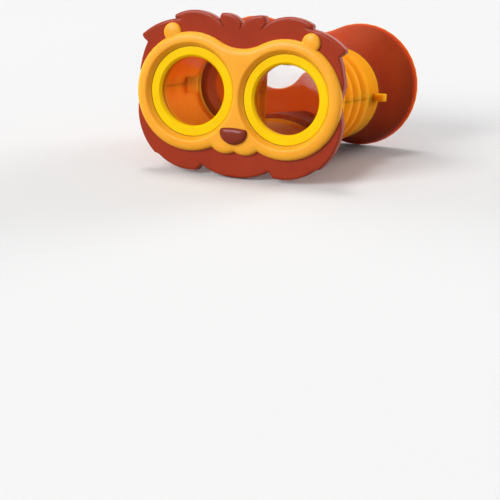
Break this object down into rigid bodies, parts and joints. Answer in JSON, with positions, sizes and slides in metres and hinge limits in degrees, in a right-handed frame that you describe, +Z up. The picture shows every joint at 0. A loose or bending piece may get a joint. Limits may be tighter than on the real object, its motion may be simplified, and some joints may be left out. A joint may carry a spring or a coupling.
{
  "type": "toy binoculars",
  "caption": "Toy binoculars with a lion face and mane around the front lenses, a ribbed twin-barrel body with strap lugs, and a soft flared eye hood with a face wall that arches over the nose.",
  "frame": {"origin": "on the ground below the middle of the toy, as it stands on the chin of its mane and the rim of its hood", "axes": "+X to the right of the face as seen from the front, +Y from the face back to the hood, +Z up"},
  "size_m": [0.137, 0.1156, 0.0892],
  "materials": {
    "mane_plastic": "satin",
    "face_plastic": "satin",
    "bezel_plastic": "satin",
    "nose_plastic": "gloss",
    "body_plastic": "satin",
    "hood_rubber": "satin",
    "clear_lens": "polished",
    "screw_steel": "plain"
  },
  "bodies": {
    "root": {"mane_plate": "mane_plastic", "face_plate": "face_plastic", "nose": "nose_plastic", "left_bezel_ring": "bezel_plastic", "right_bezel_ring": "bezel_plastic", "left_objective_lens": "clear_lens", "right_objective_lens": "clear_lens", "upper_shell": "body_plastic", "lower_shell": "body_plastic", "left_strap_lug": "body_plastic", "right_strap_lug": "body_plastic", "eyepiece_plate": "clear_lens", "eye_hood": "hood_rubber", "shell_screws": "screw_steel", "face_screws": "screw_steel"}
  },
  "joints": []
}
